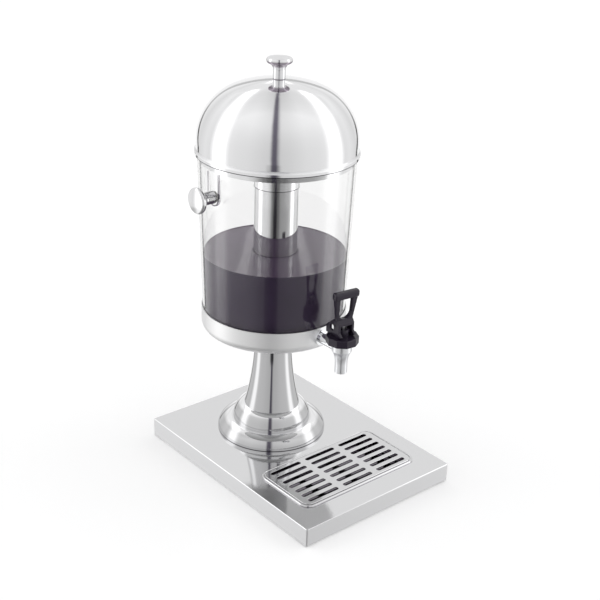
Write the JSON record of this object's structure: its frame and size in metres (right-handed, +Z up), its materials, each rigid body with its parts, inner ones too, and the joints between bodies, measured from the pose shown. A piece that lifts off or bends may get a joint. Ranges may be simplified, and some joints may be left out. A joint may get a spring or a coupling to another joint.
{
  "type": "juice dispenser",
  "caption": "Clear tank in a steel cup on a trumpet pedestal, with a flat steel base, slotted drip tray, lever tap with black stirrup, central ice tube and polished domed lid with a knob",
  "frame": {"origin": "middle of the base on the ground, at the bottom of the rubber feet", "axes": "+Z up, tap and drip tray toward -Y, side knob toward -X"},
  "size_m": [0.2658, 0.3532, 0.5741],
  "materials": {
    "satin_steel": "fine satin, brushed",
    "polished_steel": "mirror polished stainless steel",
    "plain_steel": "as machined",
    "chrome_plate": "bright plated",
    "clear_plastic": "clear, smooth",
    "black_plastic": "moulded, slightly glossy",
    "black_rubber": "matte",
    "white_silicone": "matte, translucent white"
  },
  "bodies": {
    "stand": {"base_cover": "satin_steel", "rubber_feet": "black_rubber", "backing_plate": "plain_steel", "pedestal_foot": "polished_steel", "pedestal_stem": "polished_steel", "stem_plug": "plain_steel", "tie_rod": "plain_steel", "tie_washer": "plain_steel", "tie_nut": "plain_steel", "tank_cup": "satin_steel", "clear_tank": "clear_plastic", "floor_seal": "white_silicone", "tube_seat": "plain_steel", "side_knob": "polished_steel", "side_knob_seal": "white_silicone", "side_knob_screw": "plain_steel", "tap_body": "chrome_plate", "tap_flange": "chrome_plate", "shank_seal": "white_silicone", "shank_nut": "chrome_plate", "tap_bonnet": "black_plastic", "tap_spring": "plain_steel"},
    "lid": {"lid_dome": "polished_steel", "lid_skirt": "polished_steel", "lid_knob": "polished_steel", "lid_knob_washer": "plain_steel", "lid_knob_screw": "plain_steel"},
    "ice_holder": {"ice_tube": "polished_steel"},
    "ice_cap": {"ice_tube_cap": "polished_steel"},
    "tray": {"drip_tray": "satin_steel"},
    "grille": {"drip_grille": "satin_steel"},
    "plunger": {"tap_plunger": "plain_steel", "seat_cup": "white_silicone"},
    "lever": {"tap_lever": "black_plastic", "lever_pin": "plain_steel"}
  },
  "joints": [
    {"name": "lid_lift", "type": "slide", "parent": "stand", "child": "lid", "axis": [0, 0, 1], "range_m": [0, 0.16]},
    {"name": "tube_lift", "type": "slide", "parent": "stand", "child": "ice_holder", "axis": [0, 0, 1], "range_m": [0, 0.1]},
    {"name": "cap_lift", "type": "slide", "parent": "ice_holder", "child": "ice_cap", "axis": [0, 0, 1], "range_m": [0, 0.04]},
    {"name": "tray_lift", "type": "slide", "parent": "stand", "child": "tray", "axis": [0, 0, 1], "range_m": [0, 0.06]},
    {"name": "grille_lift", "type": "slide", "parent": "tray", "child": "grille", "axis": [0, 0, 1], "range_m": [0, 0.05]},
    {"name": "plunger_lift", "type": "slide", "parent": "stand", "child": "plunger", "axis": [0, 0, 1], "range_m": [0, 0.0025], "deforming": ["tap_spring"]},
    {"name": "lever_tilt", "type": "hinge", "parent": "plunger", "child": "lever", "pos_m": [0, -0.085, 0.2478], "axis": [0.9936, -0.1132, 0], "range_deg": [0, 35], "stiffness_Nm_per_rad": 0.4, "springref_deg": -14.32}
  ],
  "couplings": [
    {"joint": "plunger_lift", "follows": "lever_tilt", "m_per_rad": 0.004}
  ]
}
